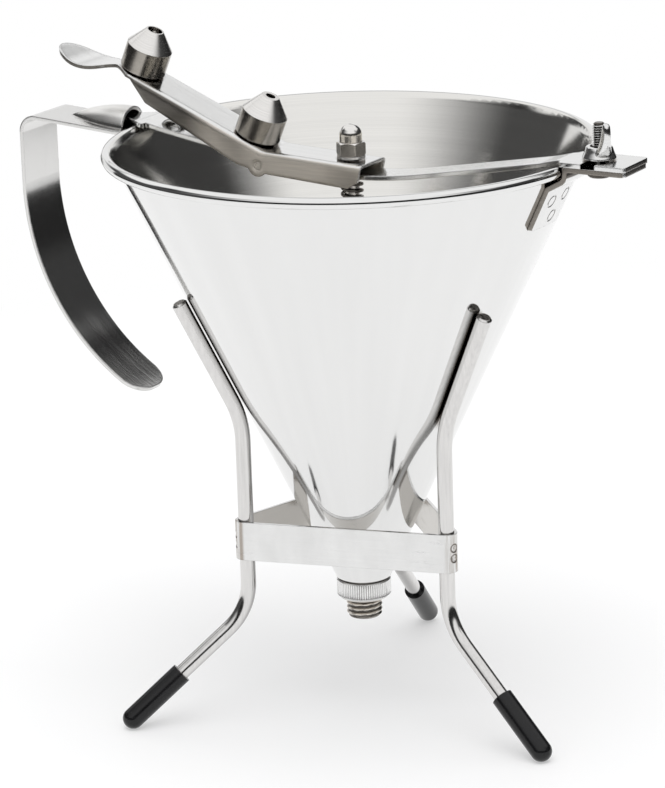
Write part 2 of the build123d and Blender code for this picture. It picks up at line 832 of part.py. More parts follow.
with BuildPart() as lever:
    with BuildSketch(Plane.XZ):
        with BuildLine():
            lever_top_line = FilletPolyline(
                left_arm(left_arm_length, 0),
                below_bend(0),
                right_arm(right_arm_length, 0),
                radius=lever_bend_radius,
            )
            Polyline(
                lever_top_line @ 1,
                *[right_arm(along, depth) for along, depth in right_flange],
                *[left_arm(along, depth) for along, depth in left_flange],
                left_arm(left_flange_end, lever_sheet),
                left_arm(left_arm_length, lever_sheet),
                lever_top_line @ 0,
            )
        make_face()
        with Locations((-pivot_place, pivot_z)):
            Circle(lug_radius)
    extrude(amount=lever_width / 2, both=True)
    top_faces = lever.faces().filter_by(lambda face: face.normal_at().Z > abs(face.normal_at().X))
    fold_edges = top_faces.edges().filter_by(
        lambda edge: abs(abs(edge.center().Y) - lever_width / 2) < weld_gap
    )
    fillet(fold_edges, radius=lever_fold_radius)
    with BuildSketch(Plane.XZ):
        with BuildLine():
            hollow_line = FilletPolyline(
                left_arm(through_all, lever_sheet),
                below_bend(lever_sheet),
                right_arm(through_all, lever_sheet),
                radius=lever_bend_radius + lever_sheet,
            )
            Polyline(
                hollow_line @ 1,
                right_arm(through_all, through_all),
                left_arm(through_all, through_all),
                hollow_line @ 0,
            )
        make_face()
    extrude(amount=lever_width / 2 - lever_sheet, both=True, mode=Mode.SUBTRACT)
    add(thumb_leaf.part)
    with BuildSketch(Plane.XZ):
        with Locations((-pivot_place, pivot_z)):
            Circle(pin_radius + pin_clearance)
    extrude(amount=lever_width, both=True, mode=Mode.SUBTRACT)
    with BuildSketch(Plane.XY):
        with Locations((slot_run / 2, 0)):
            SlotCenterToCenter(slot_run, 2 * slot_half_width)
    extrude(amount=through_all, mode=Mode.SUBTRACT)
lever.part.label = "lever"
export_step(lever.part, "parts/lever.step")

# Studs on the lever's left arm and the nozzles parked on them
nozzle_bore = thread_radius + thread_clearance
nozzle_base = stud_shoulder + rest_gap
nozzle_top = nozzle_base + nozzle_height
parked = {
    "upper": (upper_stud_place, "large", large_hole_radius),
    "lower": (lower_stud_place, "small", small_hole_radius),
}

for side, (place, size, hole_radius) in parked.items():
    foot_x, foot_z = left_arm(place, -weld_gap)
    stud_plane = Plane(
        origin=(foot_x, 0, foot_z),
        x_dir=(cos(rise), 0, -sin(rise)),
        z_dir=(0, -1, 0),
    )
    stud_axis = Axis(stud_plane.origin, stud_plane.y_dir)
    stud_top = stud_shoulder + stud_length
    with BuildPart() as nozzle_stud:
        with BuildSketch(stud_plane):
            with BuildLine():
                Polyline(
                    (0, 0),
                    (stud_shoulder_radius, 0),
                    (stud_shoulder_radius, stud_shoulder),
                    (thread_radius, stud_shoulder),
                    (thread_radius, stud_top - thread_chamfer),
                    (thread_radius - thread_chamfer, stud_top),
                    (0, stud_top),
                    close=True,
                )
            make_face()
        revolve(axis=stud_axis)
        revolve(
            ring_grooves(stud_plane, stud_shoulder, stud_top - thread_chamfer),
            axis=stud_axis,
            mode=Mode.SUBTRACT,
        )
    nozzle_stud.part.label = f"nozzle_stud_{side}"
    export_step(nozzle_stud.part, f"parts/nozzle_stud_{side}.step")

    with BuildPart() as nozzle:
        with BuildSketch(stud_plane):
            with BuildLine():
                Polyline(
                    (nozzle_bore, nozzle_base),
                    (nozzle_radius - nozzle_chamfer, nozzle_base),
                    (nozzle_radius, nozzle_base + nozzle_chamfer),
                    (nozzle_radius, nozzle_base + nozzle_skirt),
                    (nozzle_top_radius, nozzle_top),
                    (hole_radius, nozzle_top),
                    (hole_radius, nozzle_top - nozzle_lip),
                    (nozzle_bore, nozzle_base + nozzle_thread_depth),
                    close=True,
                )
            make_face()
        revolve(axis=stud_axis)
    nozzle.part.label = f"nozzle_{size}"
    export_step(nozzle.part, f"parts/nozzle_{size}.step")

# Valve plug: cone that closes the seat in the nipple, with a tip that centres it in the bore
plug_lift = moving_gap * sqrt(2)
plug_seat_z = spigot_top + plug_lift
plug_tip_radius = outlet_bore_radius - plug_tip_gap
plug_tip_start = plug_seat_z - (seat_radius - plug_tip_radius)
plug_tip_bottom = plug_tip_start - plug_tip_length
plug_top = plug_seat_z + plug_length
rod_socket = rod_radius + weld_gap
rod_bottom = plug_top - plug_socket

with BuildPart() as valve_plug:
    with BuildSketch(Plane.XZ):
        with BuildLine():
            Polyline(
                (0, plug_tip_bottom),
                (plug_tip_radius, plug_tip_bottom),
                (plug_tip_radius, plug_tip_start),
                (seat_radius, plug_seat_z),
                (seat_radius, plug_seat_z + plug_shoulder),
                (rod_socket + plug_rim, plug_top),
                (rod_socket, plug_top),
                (rod_socket, rod_bottom - weld_gap),
                (0, rod_bottom - weld_gap),
                close=True,
            )
        make_face()
    revolve(axis=Axis.Z)
valve_plug.part.label = "valve_plug"
export_step(valve_plug.part, "parts/valve_plug.step")

# Washer and cap nut: hang the rod on the lever's right arm
washer_bottom = lever_top(-washer_radius) + moving_gap
nut_bottom = washer_bottom + washer_thickness + weld_gap
nut_top = nut_bottom + cap_nut_height
dome_centre_z = nut_top - cap_nut_dome_radius
rod_top = nut_bottom + rod_thread_reach
hex_corner_radius = cap_nut_flats / 2 / cos(pi / 6)

with BuildPart() as cap_washer:
    with BuildSketch(Plane.XY.offset(washer_bottom)):
        Circle(washer_radius)
        Circle(rod_socket, mode=Mode.SUBTRACT)
    extrude(amount=washer_thickness)
cap_washer.part.label = "cap_washer"
export_step(cap_washer.part, "parts/cap_washer.step")

with BuildPart() as cap_nut:
    with BuildSketch(Plane.XY.offset(nut_bottom)):
        RegularPolygon(cap_nut_flats / 2, 6, major_radius=False, rotation=cap_nut_turn)
    extrude(amount=cap_nut_hex_height)
    with BuildSketch(Plane.XZ):
        with BuildLine():
            Polyline(
                (0, nut_bottom),
                (cap_nut_flats / 2, nut_bottom),
                (hex_corner_radius, nut_bottom + cap_nut_corner),
                (hex_corner_radius, nut_bottom + cap_nut_hex_height - cap_nut_corner),
                (cap_nut_flats / 2, nut_bottom + cap_nut_hex_height),
                (0, nut_bottom + cap_nut_hex_height),
                close=True,
            )
        make_face()
    revolve(axis=Axis.Z, mode=Mode.INTERSECT)
    with BuildSketch(Plane.XZ):
        with BuildLine():
            Polyline(
                (0, nut_bottom + cap_nut_hex_height),
                (cap_nut_dome_radius, nut_bottom + cap_nut_hex_height),
                (cap_nut_dome_radius, dome_centre_z),
            )
            CenterArc((0, dome_centre_z), cap_nut_dome_radius, 0, 90)
            Line((0, nut_top), (0, nut_bottom + cap_nut_hex_height))
        make_face()
    revolve(axis=Axis.Z)
    with BuildSketch(Plane.XY.offset(nut_bottom)):
        Circle(rod_socket)
    extrude(amount=rod_thread_reach + weld_gap, mode=Mode.SUBTRACT)
cap_nut.part.label = "cap_nut"
export_step(cap_nut.part, "parts/cap_nut.step")

# Valve rod: from the plug up through the bar and the lever into the cap nut
with BuildPart() as valve_rod:
    with BuildSketch(Plane.XY.offset(rod_bottom)):
        Circle(rod_radius)
    extrude(amount=rod_top - rod_bottom)
valve_rod.part.label = "valve_rod"
export_step(valve_rod.part, "parts/valve_rod.step")

# Valve spring: one helical wire between the bar and the collar on the rod, in biarcs of a quarter turn
spring_top = bar_middle_bottom - rest_gap - spring_wire / 2
spring_bottom = spring_top - spring_turns * spring_pitch


def spring_point(quarter):
    """Middle of the wire after a number of quarter turns."""
    turn = quarter * pi / 2
    height = spring_top - quarter * spring_pitch / 4
    return Vector(spring_mean_radius * cos(turn), spring_mean_radius * sin(turn), height)


def spring_direction(quarter):
    """Direction of the wire after a number of quarter turns."""
    turn = quarter * pi / 2
    drop = spring_pitch / (2 * pi)
    return Vector(-spring_mean_radius * sin(turn), spring_mean_radius * cos(turn), -drop).normalized()


with BuildPart() as valve_spring:
    with BuildLine() as spring_line:
        for quarter in range(4 * spring_turns):
            start = spring_point(quarter)
            finish = spring_point(quarter + 1)
            leave = spring_direction(quarter)
            arrive = spring_direction(quarter + 1)
            span = finish - start
            pull = span.dot(leave + arrive)
            spread = 2 * (1 - leave.dot(arrive))
            handle_length = (sqrt(pull**2 + spread * span.dot(span)) - pull) / spread
            ahead = start + leave * handle_length
            behind = finish - arrive * handle_length
            meet = (ahead + behind) / 2
            TangentArc(start, meet, tangent=leave)
            TangentArc(meet, finish, tangent=behind - ahead)
    with BuildSketch(Plane(origin=spring_point(0), z_dir=spring_direction(0))):
        Circle(spring_wire / 2)
    sweep()
valve_spring.part.label = "valve_spring"
export_step(valve_spring.part, "parts/valve_spring.step")

spring_wire_line = spring_line.wires()[0]
sample_count = spring_turns * spring_samples_per_turn
samples = [tuple(spring_wire_line.position_at(index / sample_count)) for index in range(sample_count + 1)]
half_turn = spring_samples_per_turn // 2
least_gap = min(
    dist(first, second) - spring_wire
    for index, first in enumerate(samples)
    for second in samples[index + half_turn : index + 3 * half_turn]
)
print(f"valve spring: least gap to itself {least_gap:.2f} mm")

# Spring collar: ring fixed on the rod under the spring
collar_seat = spring_bottom - spring_wire / 2 - rest_gap

with BuildPart() as spring_collar:
    with BuildSketch(Plane.XY.offset(collar_seat)):
        Circle(spring_collar_radius)
        Circle(rod_socket, mode=Mode.SUBTRACT)
    extrude(amount=-spring_collar_height)
spring_collar.part.label = "spring_collar"
export_step(spring_collar.part, "parts/spring_collar.step")
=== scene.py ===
import math

import bmesh
import bpy
from mathutils import Matrix, Vector


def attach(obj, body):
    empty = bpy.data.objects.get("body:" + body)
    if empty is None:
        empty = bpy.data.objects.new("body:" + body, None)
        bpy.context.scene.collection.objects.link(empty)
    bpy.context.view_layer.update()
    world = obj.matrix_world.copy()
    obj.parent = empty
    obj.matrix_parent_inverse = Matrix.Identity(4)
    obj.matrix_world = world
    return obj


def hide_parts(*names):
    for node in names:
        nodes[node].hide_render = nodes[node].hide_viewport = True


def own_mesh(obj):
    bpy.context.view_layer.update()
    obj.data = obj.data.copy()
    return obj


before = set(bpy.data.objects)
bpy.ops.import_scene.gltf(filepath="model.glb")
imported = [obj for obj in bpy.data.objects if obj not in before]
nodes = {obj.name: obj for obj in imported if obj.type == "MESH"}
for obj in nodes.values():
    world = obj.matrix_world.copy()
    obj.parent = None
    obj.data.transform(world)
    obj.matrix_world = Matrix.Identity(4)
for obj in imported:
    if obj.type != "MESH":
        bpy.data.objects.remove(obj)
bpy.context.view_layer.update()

# Confectionery funnel on its stand: finishes, fine pieces, studio and camera, in metres
MM = 0.001
WHITE = (1, 1, 1, 1)
BLACK = (0, 0, 0, 1)
LEVEL = (1, 1, 0)
UPRIGHT = (0, 0, 1)
LEVER_RUN = (1, 0, 0)
ACROSS_LEVER = (0, 1, 0)
STUD_AXIS = (0.390731, 0, 0.920505)

# Camera fitted to the photograph
PICTURE_HEIGHT = 788
FOCAL_PIXELS = 3600
SENSOR = 36
CAMERA_AZIMUTH = math.radians(31)
CAMERA_ELEVATION = math.radians(16.47)
CAMERA_ROLL = math.radians(-1.83)
CAMERA_DISTANCE = 1393.32 * MM
CAMERA_ASIDE = -9.99 * MM
CAMERA_HEIGHT = 127.27 * MM

# Studio: white surroundings behind a dark scrim, which is clear at its top and in its soft openings
SCRIM_RADIUS = 60
SCRIM_DIVISIONS = 5
SCRIM_CLEAR = 0.022
TOP_START = 0.61
TOP_FULL = 0.75
OPENING_EDGE = 0.06
LOWEST = -2
HIGHEST = 2
# An opening has headings, each with the angles from it where the opening ends and where it is full,
# two heights on a globe of radius 1, and how clear it is; LOWEST and HIGHEST are past the globe's ends
OPENINGS = (
    {
        "headings": (((-0.174, -0.985, 0), 128, 74), ((0.966, -0.259, 0), 158, 67)),
        "low": 0.33,
        "high": HIGHEST,
        "light": 1.0,
    },
    {"headings": (((-0.515, 0.857, 0), 32, 16),), "low": LOWEST, "high": 0.42, "light": 0.92},
    {"headings": (((-0.31, 0.951, 0), 15.5, 8),), "low": 0.36, "high": 0.58, "light": 1.0},
    {"headings": (((-0.883, 0.469, 0), 14, 10),), "low": LOWEST, "high": 0.2, "light": 0.85},
    {"headings": (((-0.906, 0.423, 0), 38, 22),), "low": 0.42, "high": HIGHEST, "light": 1.0},
    {"headings": (((0.819, 0.574, 0), 32, 20),), "low": 0.55, "high": HIGHEST, "light": 0.95},
    {"headings": (((-0.966, -0.259, 0), 55, 25),), "low": 0.0, "high": 0.5, "light": 0.055},
    {"headings": (((0.788, 0.616, 0), 40, 20),), "low": 0.15, "high": 0.55, "light": 0.03},
)
SUN_STRENGTH = 1.6
SUN_ANGLE = math.radians(50)
SUN_TILT = (math.radians(10), math.radians(6), 0)

# Round white table top, which turns plain white outside the shadow
FLOOR_MIDDLE = Vector((-0.18, -0.06, 0))
FLOOR_RADIUS = 1.15
FLOOR_SEGMENTS = 160
FLOOR_COLOUR = (0.9, 0.9, 0.905, 1)
FLOOR_GLOW = 0.42
FLOOR_MIRRORED = 0.8
SHADOW_MIDDLE = (0, 0.12, 0)
SHADOW_FADE = 0.35
SHADOW_END = 0.58

# Sockets of a Mix node that take and give colours
FIRST_COLOUR = 6
SECOND_COLOUR = 7
MIXED_COLOUR = 2

# Noise: detail and roughness of each kind
SOFT = (2.0, 0.5)
MIDDLING = (3.0, 0.5)
CRISP = (3.0, 0.6)
SPECKLED = (3.0, 0.7)
GRITTY = (4.0, 0.7)

# All steel: soft edges, and painted shade in the tight corners between pieces
EDGE_ROUND = 0.35 * MM
EDGE_SAMPLES = 6
CREVICE_REACH = 2.0 * MM
CREVICE_SAMPLES = 8
CREVICE_OPENNESS = (0.25, 0.8)
CREVICE_SHADE = (0.36, 0.33, 0.30, 1)
BRUSH_SHARE = 0.6

# Cone: a brush or a streak is how fast its noise changes along X, Y and Z, and tones shade a colour
SHEET_COLOUR = (0.80, 0.80, 0.795, 1)
SHEET_INSIDE = (0.78, 0.77, 0.745, 1)
CONE_BRUSH = (9, 9, 4200)
CONE_BROAD_BRUSH = (7, 7, 330)
CONE_STREAKS_AROUND = (7, 7, 0)
CONE_STREAKS_UP = (0, 0, 9)
CONE_INWARD = (0.2, 0.5)
CONE_INSIDE_TONES = (0.86, 1.12)
CONE_OUTSIDE_TONES = (0.97, 1.04)
CONE_INSIDE_ROUGHNESS = (0.07, 0.15)
CONE_OUTSIDE_ROUGHNESS = (0.05, 0.09)
CONE_RELIEF = 0.06 / max(CONE_BRUSH)

# Bent strips: handle, lever, cross bar and bracket
STRIP_TONES = (0.88, 1.1)
STRIP_BROADER = 6
STRIP_WEAR = (160, 160, 160)
STRIP_LINES_SHARE = 0.7
STRAP_COLOUR = (0.74, 0.735, 0.725, 1)
STRAP_BRUSH = (6, 5200, 6)
STRAP_ROUGHNESS = (0.08, 0.16)
STRAP_STEEPNESS = 0.12
CHANNEL_BRUSH = (12, 5200, 12)
CHANNEL_ROUGHNESS = (0.07, 0.16)
CHANNEL_STEEPNESS = 0.08
BAR_BRUSH = (8, 5200, 8)
BAR_ROUGHNESS = (0.08, 0.18)
BAR_STEEPNESS = 0.1
BAR_ROUND = 0.7 * MM
FOLD_ROUND = 2 * MM

# Sides of the lever and the bracket, with painted shade towards the thumb and painted light from the pivot
# on, and the sheared ends of bar and bracket in painted shade
FLANK_SHADED_COLOUR = (0.26, 0.243, 0.22, 1)
BRACKET_FLANK = (0.115, 0.106, 0.095, 1)
FLANK_FACING = (0.6, 0.85)
FLANK_GRAIN = (40, 40, 900)
FLANK_VALLEY = 0.6
FLANK_SHADE_END = -70 * MM
FLANK_LIGHT_END = -54 * MM
FLANK_PAINTED_LIGHT = 3.4
FLANK_ROUGHNESS = 0.26
CUT_END_SHADE = (0.13, 0.12, 0.11, 1)
CUT_FACING = (0.96, 0.99)

# Pressed tunnel of the handle, above the sloping plate, painted lighter than the strap
PLATE_SLOPE = math.tan(math.radians(4.2))
TUNNEL_FOOT = 224.95 * MM
TUNNEL_END = -101 * MM
TUNNEL_RISE = (0.5 * MM, 2 * MM)
TUNNEL_PAINTED_LIGHT = (0.97, 0.96, 0.94, 1)
TUNNEL_ROUGHNESS = 0.24

# Band of the stand: scuffs, heat at the three welded corners, the first of which has the seam, and painted
# shade on its inner side
BAND_BRUSH = (60, 60, 2200)
BAND_SMUDGE = (90, 90, 40)
BAND_SCUFF = (60, 60, 420)
BAND_STAIN = (420, 420, 30)
BAND_BLOTCH = (900, 900, 900)
BAND_SMUDGE_SHARE = 0.7
BAND_TONES = (0.78, 1.1)
BAND_INSIDE_SHADE = (0.54, 0.52, 0.49, 1)
BAND_INWARD = (0.1, 0.4)
BAND_ROUGHNESS = (0.1, 0.2)
BAND_RELIEF = 0.02 * MM
SCUFFED = (0.56, 0.7)
SCUFF_ROUGHNESS = 0.14
WELD_CORNERS = [math.radians(angle) for angle in (-135.76, -15.76, 104.24)]
WELD_CIRCLE = 50.55 * MM
WELD_HEIGHTS = (71.15 * MM, 75.25 * MM)
WELD_HEAT = (0.5 * MM, 5 * MM)
WELD_TINT = (0.34, 0.29, 0.24, 1)
WELD_RING = 1.6 * MM
WELD_RING_WIDTH = 0.3 * MM
WELD_RING_TINT = (0.14, 0.12, 0.10, 1)
WELD_RING_SHARE = 0.9
BURN_EDGE = (0.8 * WELD_RING, 1.3 * WELD_RING)
BURN_BLOTCH = (0.42, 0.6)
BURN_SHARE = 0.6
BAND_SEAM = (-33.2 * MM, -36.5 * MM, 0)
SEAM_EDGE = (0.3 * MM, 1.5 * MM)
SEAM_STAIN = (0.3, 0.55)
HEAT_STAIN = (0.4, 0.62)
SMEAR_SHARE = 0.8
SMEAR_ROUGHNESS = 0.1

# Turned pieces: tool rings, and a darker, warmer skirt on the faces that run along the axis, partly tarnish
# and partly painted shade
TURNED_COLOUR = (0.80, 0.785, 0.765, 1)
TURNED_TONES = (0.86, 1.1)
TURNED_WEAR = (240, 240, 240)
TURNED_ROUGHNESS = (0.1, 0.26)
TOOL_RINGS = 2600
TOOL_SHARE = 0.6
TOOL_RELIEF = 0.003 * MM
SKIRT_TARNISH_AND_SHADE = (0.38, 0.355, 0.32, 1)
SKIRT_TONES = (0.6, 1.4)
SKIRT_FACING = (0.15, 0.35)
SKIRT_TOOL_SHARE = 0.5
CAP_TARNISH_AND_SHADE = (0.72, 0.68, 0.62, 1)
CAP_ROUGHNESS = (0.1, 0.22)
NOZZLE_ROUGHNESS = (0.12, 0.3)
PIN_COLOUR = (0.66, 0.62, 0.56, 1)
PIN_ROUGHNESS = (0.2, 0.35)
NUT_ROUGHNESS = (0.08, 0.2)
SPRING_COLOUR = (0.21, 0.195, 0.18, 1)
SPRING_ROUGHNESS = (0.2, 0.4)

# Rods of the stand, with painted shade on the side that faces the cone's axis, and with sawn tops
ROD_COLOUR = (0.74, 0.73, 0.72, 1)
ROD_SKIN = (900, 900, 60)
ROD_WAVE = (70, 70, 30)
ROD_SKIN_SHARE = 0.5
ROD_TONES = (0.8, 1.08)
ROD_INWARD = (0.1, 0.7)
ROD_INNER_SHADE = 0.5
ROD_ROUGHNESS = (0.08, 0.18)
ROD_RELIEF = 0.004 * MM
LEG_TOP = 165 * MM
SAWN_REACH = 3 * MM
SAWN_FACING = (0.6, 0.8)
SAWN_COLOUR = (0.30, 0.285, 0.265, 1)
SAWN_SPECK = (1500, 1500, 1500)
SAWN_SPECKLED = (0.4, 0.62)
SAWN_TONES = (0.25, 1.6)
SAWN_ROUGHNESS = 0.35

# Foot caps
VINYL_COLOUR = (0.005, 0.005, 0.0055, 1)
VINYL_RUBBED = 1.8
VINYL_SHINE = 0.35
VINYL_SKIN = (420, 420, 420)
VINYL_RUB = (60, 60, 60)
VINYL_ROUGHNESS = (0.14, 0.26)
VINYL_RELIEF = 0.02 * MM

# Outlet nipple: fine knurl on the collar and a cut thread below it
BORE = 4.5 * MM
NIPPLE_BOTTOM = 36.6 * MM
COLLAR_BOTTOM = 44.7 * MM
COLLAR_TOP = 52.9 * MM
SHOULDER = 52.3 * MM
NECK_RADIUS = 9.3 * MM
SPIGOT_TOP = 59.5 * MM
SPIGOT_RADIUS = 8.0 * MM
SEAT_RADIUS = 6.2 * MM
COLLAR_RADIUS = 10.65 * MM
COLLAR_CHAMFER = 1.2 * MM
SHOULDER_INSET = 0.5 * COLLAR_CHAMFER
SHOULDER_CHAMFER = 0.4 * COLLAR_CHAMFER
KNURL_TEETH = 72
KNURL_STEPS = 4
KNURL_DEPTH = 0.4 * MM
KNURL_END_DEPTH = KNURL_DEPTH / 3
KNURL_LOW = COLLAR_BOTTOM + 1.2 * COLLAR_CHAMFER
KNURL_HIGH = SHOULDER - 0.5 * COLLAR_CHAMFER
OUTLET_CREST = 7.0 * MM
OUTLET_ROOT = 6.1 * MM
OUTLET_PITCH = 1.95 * MM
# The thread's colour is partly tarnish and partly painted shade; its first tone is painted shade in the
# grooves
OUTLET_TARNISH_AND_SHADE = (0.56, 0.53, 0.49, 1)
OUTLET_TONES = (0.35, 1.3)
OUTLET_WEAR = (300, 300, 300)
OUTLET_ROUGHNESS = (0.14, 0.26)
OUTLET_TOOL_ROUGHNESS = 0.08
OUTLET_RELIEF = 0.002 * MM
OUTLET_ROUND = 0.15 * MM
COLLAR_TONES = (0.75, 1.08)
COLLAR_FADE = 0.8 * MM
KNURL_SHADE = (COLLAR_RADIUS - KNURL_DEPTH, COLLAR_RADIUS - KNURL_DEPTH / 4)

# Threads of the nipple and the screw
THREAD_STEPS = 10
THREAD_FLANK = 1.6
CREASE = math.radians(32)

# Clamp screw on the bracket
SCREW_X = 105 * MM
SCREW_MIDDLE = (SCREW_X, 0, 0)
SCREW_SEAT = 225.45 * MM
SCREW_TOP = 243.05 * MM
SCREW_TIP = 0.3 * MM
SCREW_TIP_INSET = 0.4 * MM
SCREW_CREST = 2.5 * MM
SCREW_ROOT = 1.9 * MM
SCREW_PITCH = 0.9 * MM
SCREW_HEAD = 2.6 * MM
SCREW_HEAD_RADIUS = 4.4 * MM
SCREW_HEAD_CHAMFER = 0.5 * MM
SCREW_HEAD_START = (SCREW_CREST + 0.2 * MM, SCREW_CREST + 0.6 * MM)
SCREW_SEGMENTS = 64
SCREW_WEAR = (500, 500, 500)
SCREW_TONES = (0.85, 1.1)
SCREW_ROUGHNESS = (0.1, 0.22)
SCREW_ROUND = 0.1 * MM
# Painted shade in the screw's grooves and on its head
GROOVE_SHADE = (0.10, 0.09, 0.08, 1)

# Wing nut: its hub and its cast ear are in millimetres, from the screw's axis and the nut's base
WING_BASE = 229.45 * MM
WING_TURN = math.radians(-45)
# A point of the hub has a height and a radius
# A section of the ear has the reach and the height of its middle, a half width and a half thickness
HUB_OUTLINE = ((0.0, 2.7), (0.0, 5.9), (0.5, 6.4), (1.0, 6.3), (2.6, 5.5), (4.4, 5.1), (5.0, 4.6), (5.0, 2.7))
HUB_SEGMENTS = 48
EAR_SECTIONS = (
    (3.4, 1.6, 1.5, 3.4),
    (5.2, 3.2, 2.6, 3.0),
    (6.4, 5.8, 2.7, 2.4),
    (7.4, 8.8, 2.5, 1.9),
    (8.0, 11.6, 2.2, 1.7),
    (8.2, 13.6, 1.8, 1.5),
    (8.2, 14.6, 1.1, 1.0),
)
EAR_SEGMENTS = 12
EAR_DROOP = -0.35
NUT_ROUNDING = 2


class Wire:
    """A shader socket in arithmetic: each operation on it adds one Math node."""

    def __init__(self, tree, socket=None):
        self.tree = tree
        self.socket = socket

    def node(self, kind, settings=None, sockets=None, output=0):
        """Adds any node: its settings first, then the values or links of its sockets."""
        made = self.tree.nodes.new(kind)
        for name, value in (settings or {}).items():
            setattr(made, name, value)
        for name, value in (sockets or {}).items():
            if isinstance(value, Wire):
                self.tree.links.new(value.socket, made.inputs[name])
            else:
                made.inputs[name].default_value = value
        return Wire(self.tree, made.outputs[output] if made.outputs else None)

    def math(self, operation, *values):
        """Adds one Math node."""
        return self.node("ShaderNodeMath", {"operation": operation}, dict(enumerate(values)))

    def __add__(self, other):
        return self.math("ADD", self, other)

    def __sub__(self, other):
        return self.math("SUBTRACT", self, other)

    def __mul__(self, other):
        return self.math("MULTIPLY", self, other)

    def __rsub__(self, other):
        return self.math("SUBTRACT", other, self)

    __radd__ = __add__
    __rmul__ = __mul__


def new_finish(name):
    """An empty material and the wire that adds nodes to it."""
    material = bpy.data.materials.new(name)
    material.use_nodes = True
    material.node_tree.nodes.clear()
    return material, Wire(material.node_tree)


def smooth_step(wire, value, low, high):
    """0 below low, 1 above high, smooth between them."""
    ends = {"Value": value, "From Min": low, "From Max": high}
    return wire.node("ShaderNodeMapRange", {"interpolation_type": "SMOOTHSTEP"}, ends)


def ranged(share, ends):
    """A value that goes from the first end to the second as the share goes from 0 to 1."""
    low, high = ends
    return low + (high - low) * share


def mixed(first, second, share):
    """Two noises in one: the share is the first one's."""
    return share * first + (1 - share) * second


def strongest(wire, shares):
    """The largest of several shares."""
    most = shares[0]
    for share in shares[1:]:
        most = wire.math("MAXIMUM", most, share)
    return most


def object_point(wire):
    """The point of the surface in its piece's frame, which is the shared frame at rest."""
    return wire.node("ShaderNodeTexCoord", {}, {}, "Object")


def facing(wire):
    """The direction in which the surface faces, in that frame."""
    return wire.node("ShaderNodeTexCoord", {}, {}, "Normal")


def stretched(wire, point, scales):
    """The point with each of its axes scaled on its own."""
    return wire.node("ShaderNodeVectorMath", {"operation": "MULTIPLY"}, {0: point, 1: scales})


def along(wire, point, axis):
    """How far the point lies along an axis."""
    return wire.node("ShaderNodeVectorMath", {"operation": "DOT_PRODUCT"}, {0: point, 1: axis}, 1)


def distance(wire, point, place):
    """How far the point lies from a place."""
    return wire.node("ShaderNodeVectorMath", {"operation": "DISTANCE"}, {0: point, 1: place}, 1)


def direction(wire, vector):
    """The vector with a length of 1."""
    return wire.node("ShaderNodeVectorMath", {"operation": "NORMALIZE"}, {0: vector})


def outward(wire, point):
    """The level direction from the upright axis to the point."""
    return direction(wire, stretched(wire, point, LEVEL))


def faces_inward(wire, point, ends):
    """1 where the surface faces the upright axis, 0 where it faces away from it."""
    return smooth_step(wire, 0 - along(wire, facing(wire), outward(wire, point)), *ends)


def noise(wire, place, kind):
    """Noise from 0 to 1 at a scaled point."""
    detail, roughness = kind
    sockets = {"Vector": place, "Scale": 1.0, "Detail": detail, "Roughness": roughness}
    return wire.node("ShaderNodeTexNoise", {"noise_dimensions": "3D"}, sockets)


def tool_rings(wire, place):
    """Noise along one line, which draws the rings of a turning tool."""
    detail, roughness = MIDDLING
    sockets = {"W": place, "Scale": TOOL_RINGS, "Detail": detail, "Roughness": roughness}
    return wire.node("ShaderNodeTexNoise", {"noise_dimensions": "1D"}, sockets)


def tinted(wire, share, first, second, blend="MIX"):
    """A colour between two colours, or the second laid over the first in another way."""
    settings = {"data_type": "RGBA", "blend_type": blend}
    sockets = {0: share, FIRST_COLOUR: first, SECOND_COLOUR: second}
    return wire.node("ShaderNodeMix", settings, sockets, MIXED_COLOUR)


def toned(colour, tone):
    """The colour made darker, or lighter where the tone is above 1."""
    return tuple(channel * tone for channel in colour[:-1]) + (1,)


def shaded(wire, share, colour, tones):
    """A colour that goes from its first tone to its second as the share goes from 0 to 1."""
    low, high = tones
    return tinted(wire, share, toned(colour, low), toned(colour, high))


def rounded_edges(wire, radius):
    """The surface's normal with its sharp edges softened."""
    return wire.node("ShaderNodeBevel", {"samples": EDGE_SAMPLES}, {"Radius": radius})


def relief(wire, height, depth, normal=None):
    """The normal of a surface with a fine relief of the given depth."""
    sockets = {"Height": height, "Strength": 1.0, "Distance": depth}
    if normal:
        sockets["Normal"] = normal
    return wire.node("ShaderNodeBump", {}, sockets)


def steel(wire, colour, roughness, normal):
    """Closes a material with a metal surface that has painted shade in the tight corners between pieces."""
    reach = {"Distance": CREVICE_REACH}
    # Painted shade: the colour darkens where little room is open around the point
    openness = wire.node("ShaderNodeAmbientOcclusion", {"samples": CREVICE_SAMPLES}, reach, "AO")
    corner_shade = tinted(wire, smooth_step(wire, openness, *CREVICE_OPENNESS), CREVICE_SHADE, WHITE)
    corner_shaded = tinted(wire, 1.0, colour, corner_shade, "MULTIPLY")
    sockets = {"Base Color": corner_shaded, "Metallic": 1.0, "Roughness": roughness, "Normal": normal}
    surface = wire.node("ShaderNodeBsdfPrincipled", {}, sockets)
    wire.node("ShaderNodeOutputMaterial", {}, {"Surface": surface})


